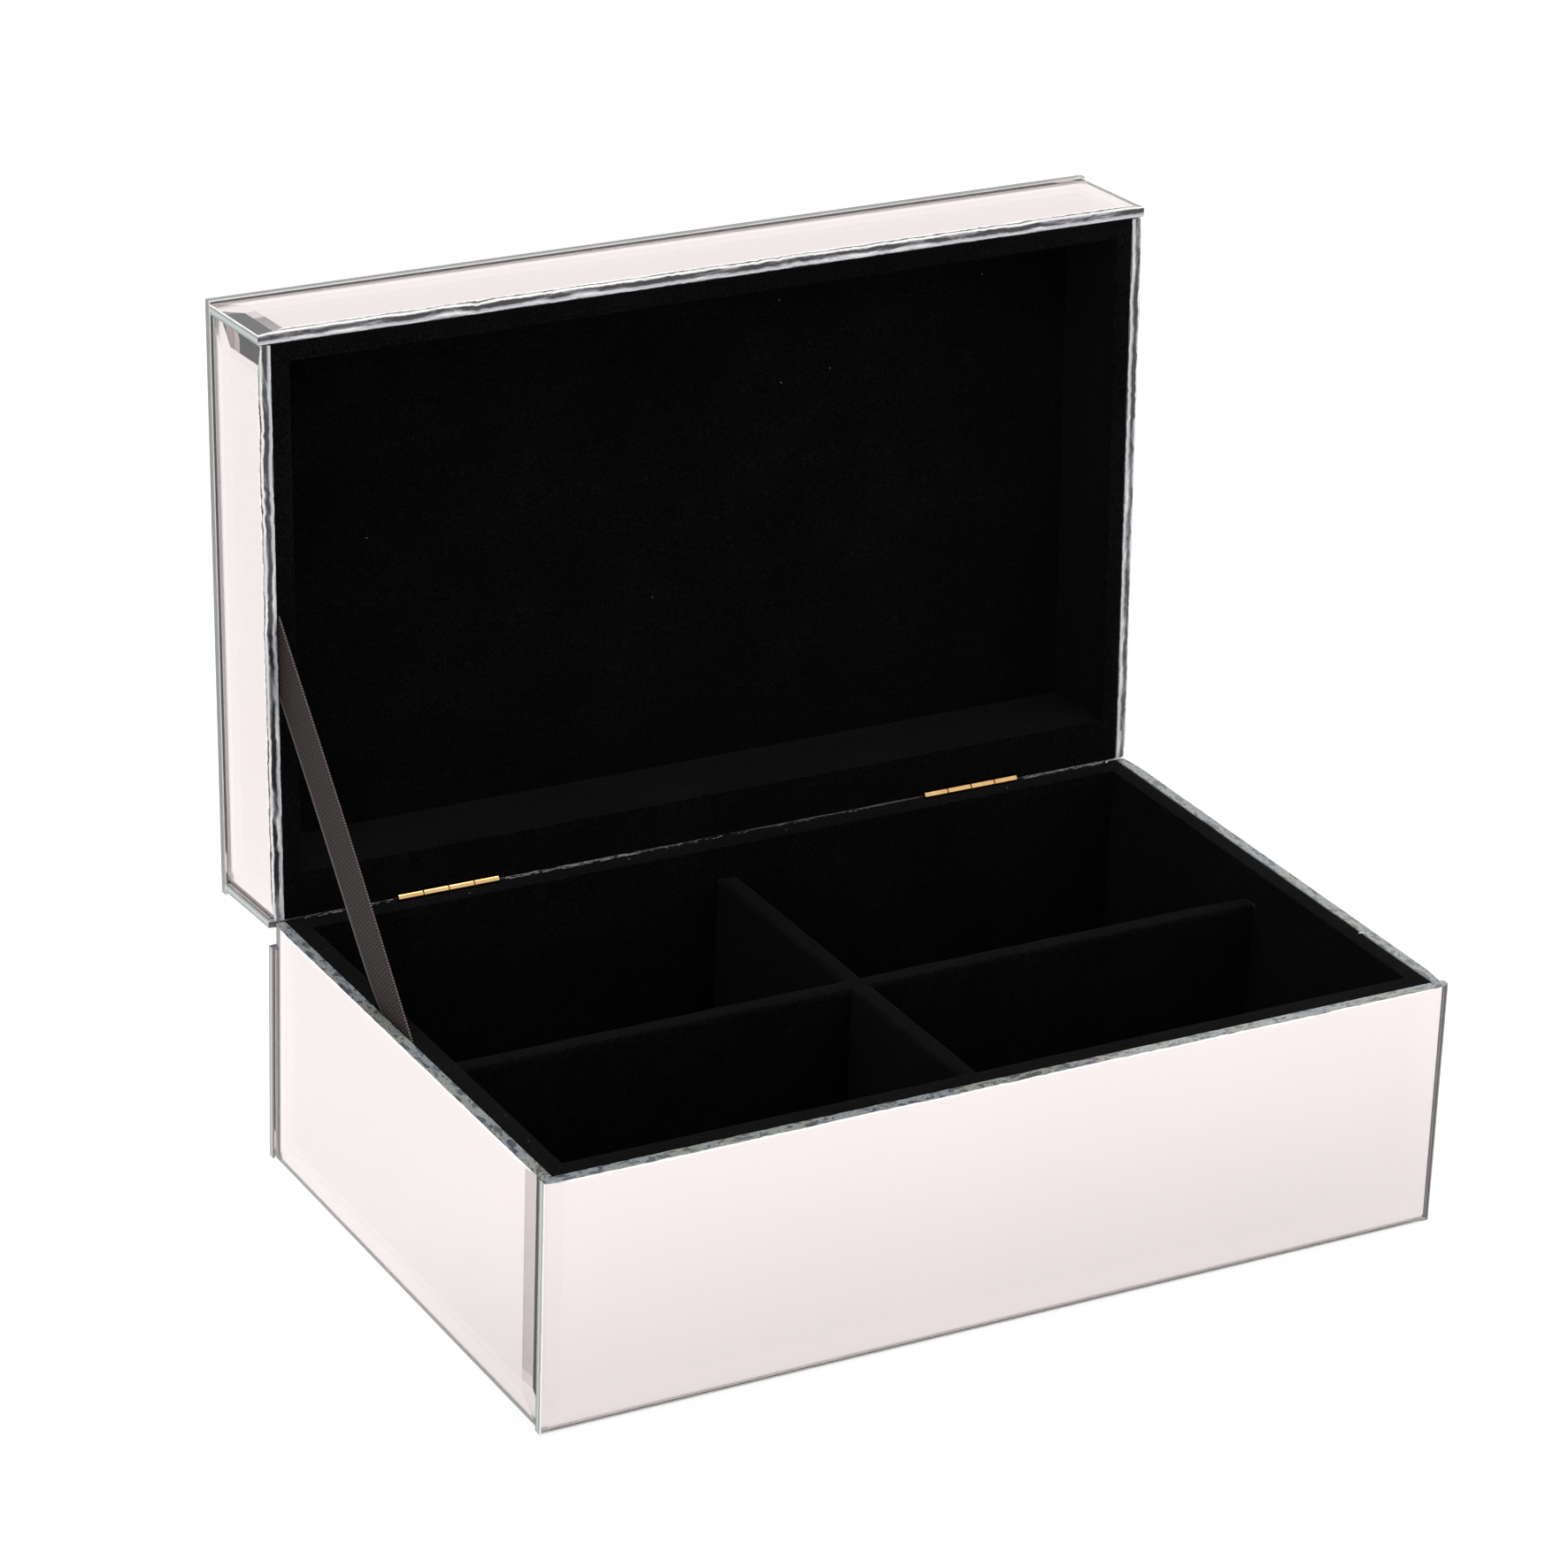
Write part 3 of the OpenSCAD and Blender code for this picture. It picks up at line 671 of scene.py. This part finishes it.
# %% Felt
felt, tree, place = new_material("black_wool_felt")
felt_fibres = add(tree, "ShaderNodeTexNoise", {}, {
    "Vector": place, "Scale": per_mm(0.8), "Detail": 5.0, "Roughness": 0.7, "Distortion": 2.0,
})
felt_colour = add(tree, "ShaderNodeMix", {"data_type": "RGBA"}, {
    "Factor": felt_fibres.outputs["Fac"], "A": linear("#131214"), "B": linear("#2B292C"),
})
felt_bump = add(tree, "ShaderNodeBump", {}, {"Strength": 0.8, "Distance": 0.3 * MM, "Height": felt_fibres.outputs["Fac"]})
finish_material(
    tree, Base_Color=felt_colour.outputs["Result"], Roughness=1.0, Sheen_Weight=0.2,
    Sheen_Roughness=0.6, Normal=felt_bump.outputs["Normal"],
)
felt_piece = soft_block("felt_foot", "base_felt", felt, 0.4 * MM, 8 * MM, 0.1 * MM)
print("felt:", len(felt_piece.data.polygons), "faces")

# %% [markdown]
# ## Fibreboard core
# The core is 4 mm fibreboard, stained black so that nothing pale shows at the seams. Pressed
# wood fibre is matt, with a fine fleck that the stain leaves lighter.

# %% Fibreboard
fibreboard, tree, place = new_material("black_stained_fibreboard")
fleck = add(tree, "ShaderNodeTexNoise", {}, {"Vector": place, "Scale": per_mm(1.2), "Detail": 6.0, "Roughness": 0.75})
board_colour = add(tree, "ShaderNodeMix", {"data_type": "RGBA"}, {
    "Factor": fleck.outputs["Fac"], "A": linear("#0E0C0B"), "B": linear("#2A2420"),
})
board_bump = add(tree, "ShaderNodeBump", {}, {"Strength": 0.5, "Distance": 0.1 * MM, "Height": fleck.outputs["Fac"]})
finish_material(
    tree, Base_Color=board_colour.outputs["Result"], Roughness=0.75, Normal=board_bump.outputs["Normal"],
)

# %% [markdown]
# ## Brass hinges
# The hinges are pressed brass sheet, polished and then lacquered. Brass is a metal, so its colour
# is all in the reflection. Fine scratches from polishing spread the highlight along the barrel,
# and slow noise darkens it in patches, for tarnish.

# %% Brass
brass, tree, place = new_material("lacquered_brass")
tarnish = add(tree, "ShaderNodeTexNoise", {}, {"Vector": place, "Scale": per_mm(3), "Detail": 5.0})
brass_colour = add(tree, "ShaderNodeMix", {"data_type": "RGBA"}, {
    "Factor": tarnish.outputs["Fac"], "A": linear("#E6C48F"), "B": linear("#B98A50"),
})
scratch = add(tree, "ShaderNodeTexNoise", {}, {"Vector": place, "Scale": per_mm(0.6), "Detail": 4.0})
brass_rough = add(tree, "ShaderNodeMapRange", {}, {"Value": scratch.outputs["Fac"], "To Min": 0.05, "To Max": 0.16})
brass_bump = add(tree, "ShaderNodeBump", {}, {
    "Strength": 0.05, "Distance": 0.05 * MM, "Height": scratch.outputs["Fac"],
})
finish_material(
    tree, Base_Color=brass_colour.outputs["Result"], Metallic=1.0, Roughness=brass_rough.outputs["Result"],
    Normal=brass_bump.outputs["Normal"],
)

# %% Materials on the CAD parts that stay
for name, node in frame["nodes"].items():
    if node.hide_render:
        continue
    is_brass = any(word in name for word in ("leaf", "pin", "screws"))
    node.data.materials.clear()
    node.data.materials.append(brass if is_brass else fibreboard)
    rounding = node.modifiers.new("worn_edges", "BEVEL")
    rounding.width, rounding.segments, rounding.limit_method = (0.08 if is_brass else 0.2) * MM, 2, "ANGLE"
    rounding.angle_limit = math.radians(40)

# %% [markdown]
# ## Ribbon stay
# A 15 mm black satin ribbon runs from between the glass and the velvet on the base's left rim to
# the same place on the lid, and stops the lid a little past upright. The lid's weight pulls it
# straight, apart from a fold at its foot, where one side is tucked in under the velvet. It is a flat
# strap between two fixed ends, so it is shaped directly and not simulated. Its threads are finer
# than the picture can show, so the weave is drawn at about a millimetre.

# %% Satin material
satin, tree, place = new_material("black_polyester_satin")
cloth_uv = add(tree, "ShaderNodeUVMap", {"uv_map": "cloth"}).outputs["UV"]
weft = add(tree, "ShaderNodeTexWave", {"bands_direction": "Y"}, {
    "Vector": cloth_uv, "Scale": 0.33, "Distortion": 2.5, "Detail": 2.0,
})
warp = add(tree, "ShaderNodeTexWave", {"bands_direction": "X"}, {
    "Vector": cloth_uv, "Scale": 0.28, "Distortion": 2.0, "Detail": 2.0,
})
weave = add(tree, "ShaderNodeMath", {"operation": "MULTIPLY"}, {0: weft.outputs["Fac"], 1: warp.outputs["Fac"]})
satin_colour = add(tree, "ShaderNodeMix", {"data_type": "RGBA"}, {
    "Factor": weave.outputs["Value"], "A": linear("#0B0807"), "B": linear("#3C2E2A"),
})
weave_bump = add(tree, "ShaderNodeBump", {}, {"Strength": 0.8, "Distance": 0.15 * MM, "Height": weave.outputs["Value"]})
across = add(tree, "ShaderNodeSeparateXYZ", {}, {"Vector": cloth_uv})
off_centre = add(tree, "ShaderNodeMath", {"operation": "ABSOLUTE"}, {0: across.outputs["X"]})
selvedge = add(tree, "ShaderNodeMapRange", {}, {
    "Value": off_centre.outputs["Value"], "From Min": 6.7, "From Max": 7.1,
})
stitches = add(tree, "ShaderNodeTexWave", {"bands_direction": "Y"}, {"Vector": cloth_uv, "Scale": 0.42, "Distortion": 0.6})
stitched = add(tree, "ShaderNodeMath", {"operation": "MULTIPLY"}, {
    0: selvedge.outputs["Result"], 1: stitches.outputs["Fac"],
})
ribbon_colour = add(tree, "ShaderNodeMix", {"data_type": "RGBA"}, {
    "Factor": stitched.outputs["Value"], "A": satin_colour.outputs["Result"], "B": linear("#6A6462"),
})
finish_material(
    tree, Base_Color=ribbon_colour.outputs["Result"], Roughness=0.6, Specular_IOR_Level=0.08,
    Sheen_Weight=0.05, Sheen_Roughness=0.4,
    Normal=weave_bump.outputs["Normal"],
)

# %% Ribbon shape
RIBBON_W, RIBBON_T, TAIL, BOW = 15 * MM, 0.3 * MM, 8 * MM, 0.3 * MM
ribbon_low, ribbon_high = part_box("ribbon_stay")
RIBBON_X = (ribbon_low.x + ribbon_high.x) / 2
BASE_AT, LID_AT = 63.7 * MM, 69.8 * MM
rim_half_gap = 0.2 * MM
ribbon_from = HINGE_AT + Vector((0, -BASE_AT, -rim_half_gap))
ribbon_to = shut_to_open @ (HINGE_AT + Vector((0, -LID_AT, rim_half_gap)))
ribbon_from.x = ribbon_to.x = RIBBON_X
ribbon_along = (ribbon_to - ribbon_from).normalized()
ribbon_across = Vector((0, ribbon_along.z, -ribbon_along.y))
free_length = (ribbon_to - ribbon_from).length
bm = bmesh.new()
cloth_layer = bm.loops.layers.uv.new("cloth")
ACROSS, ALONG = 12, 64
spots, flat_spots = [], []
for j in range(ALONG + 1):
    s = -TAIL + (free_length + 2 * TAIL) * j / ALONG
    t = min(max(s / free_length, 0), 1)
    bow = BOW * math.sin(math.pi * t) ** 1.2
    row, flat_row = [], []
    for i in range(ACROSS + 1):
        c = (i / ACROSS - 0.5) * RIBBON_W
        tuck = 4.5 * MM * max(0, i / ACROSS - 0.5) / 0.5 * math.exp(-max(s, 0) / (7 * MM))
        cup = 0.1 * MM * (1 - (2 * i / ACROSS - 1) ** 2) * math.sin(math.pi * t)
        spot = ribbon_from + ribbon_along * s + ribbon_across * (c - tuck)
        spot.x += bow + cup
        row.append(bm.verts.new(spot))
        flat_row.append((c / MM, s / MM))
    spots.append(row)
    flat_spots.append(flat_row)
for j in range(ALONG):
    for i in range(ACROSS):
        corners = [(j, i), (j, i + 1), (j + 1, i + 1), (j + 1, i)]
        made = bm.faces.new([spots[b][a] for b, a in corners])
        for loop, (b, a) in zip(made.loops, corners):
            loop[cloth_layer].uv = flat_spots[b][a]
ribbon_mesh = bpy.data.meshes.new("satin_ribbon_stay")
bm.to_mesh(ribbon_mesh)
bm.free()
ribbon_mesh.shade_smooth()
ribbon_mesh.materials.append(satin)
ribbon = bpy.data.objects.new("satin_ribbon_stay", ribbon_mesh)
bpy.context.scene.collection.objects.link(ribbon)
thickness = ribbon.modifiers.new("thickness", "SOLIDIFY")
thickness.thickness, thickness.offset = RIBBON_T, 0
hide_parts("ribbon_stay")
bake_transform(ribbon)
print("ribbon: free length", round(free_length / MM, 1), "mm")

# %% [markdown]
# ## Studio
# The box stands on a sheet of white acrylic that glows as if lit from below, as on a product
# table, in a white surround with one large soft light overhead. That leaves almost no shadow, and
# gives the mirrors nothing but an even white to reflect, apart from the black velvet. The glow is
# painted dimmer along the box's front edge, a painted shadow that shades the foot of that mirror,
# and painted dimmer again far from the box, which evens out the lid's upright mirror.

# %% Floor and light
acrylic, tree, place = new_material("lit_white_acrylic_painted_shade")
tooth = add(tree, "ShaderNodeTexNoise", {}, {"Vector": place, "Scale": per_mm(1.5), "Detail": 3.0})
acrylic_bump = add(tree, "ShaderNodeBump", {}, {"Strength": 0.05, "Distance": 0.1 * MM, "Height": tooth.outputs["Fac"]})
spot = add(tree, "ShaderNodeSeparateXYZ", {}, {"Vector": place})
off_centre = add(tree, "ShaderNodeMath", {"operation": "ABSOLUTE"}, {0: spot.outputs["X"]})
beside = add(tree, "ShaderNodeMath", {"operation": "SUBTRACT"}, {0: off_centre.outputs["Value"], 1: 125 * MM})
from_front = add(tree, "ShaderNodeMath", {"operation": "ADD"}, {0: spot.outputs["Y"], 1: 78.5 * MM})
before = add(tree, "ShaderNodeMath", {"operation": "ABSOLUTE"}, {0: from_front.outputs["Value"]})
from_box = add(tree, "ShaderNodeMath", {"operation": "MAXIMUM"}, {
    0: beside.outputs["Value"], 1: before.outputs["Value"],
}).outputs["Value"]
# Painted shadow: the glow is dimmer along the box's front edge.
painted_edge_shadow = add(tree, "ShaderNodeMapRange", {"interpolation_type": "SMOOTHSTEP"}, {
    "Value": from_box, "From Min": 0.0, "From Max": 130 * MM, "To Min": 0.85, "To Max": 1.04,
})
# Painted falloff: the glow is dimmer again far from the box.
painted_far_falloff = add(tree, "ShaderNodeMapRange", {"interpolation_type": "SMOOTHSTEP"}, {
    "Value": from_box, "From Min": 150 * MM, "From Max": 450 * MM, "To Min": 1.0, "To Max": 0.91,
})
lit = add(tree, "ShaderNodeMath", {"operation": "MULTIPLY"}, {
    0: painted_edge_shadow.outputs["Result"], 1: painted_far_falloff.outputs["Result"],
})
finish_material(
    tree, Base_Color=linear("#6A6A6A"), Roughness=0.9, Normal=acrylic_bump.outputs["Normal"],
    Emission_Color=linear("#FFFFFF"), Emission_Strength=lit.outputs["Value"],
)
FLOOR_HALF = 6
floor_mesh = bpy.data.meshes.new("floor")
floor_mesh.from_pydata(
    [(x * FLOOR_HALF, y * FLOOR_HALF, 0) for x, y in ((-1, -1), (1, -1), (1, 1), (-1, 1))],
    [], [(0, 1, 2, 3)],
)
floor_mesh.materials.append(acrylic)
floor = bpy.data.objects.new("floor", floor_mesh)
bpy.context.scene.collection.objects.link(floor)

world = bpy.data.worlds.new("white_surround")
world.use_nodes = True
world.node_tree.nodes.clear()
surround = add(world.node_tree, "ShaderNodeBackground", {}, {"Color": linear("#FFFFFF"), "Strength": 1.14})
add(world.node_tree, "ShaderNodeOutputWorld", {}, {"Surface": surround.outputs["Background"]})
bpy.context.scene.world = world

softbox_data = bpy.data.lights.new("softbox_overhead", "AREA")
softbox_data.shape, softbox_data.size, softbox_data.energy = "DISK", 1.2, 9
softbox = bpy.data.objects.new("softbox_overhead", softbox_data)
softbox.location = (0.2, -0.1, 1.7)
bpy.context.scene.collection.objects.link(softbox)
bpy.context.scene.view_settings.view_transform = "Standard"
print("lights:", surround.inputs["Strength"].default_value, softbox_data.energy, "W")
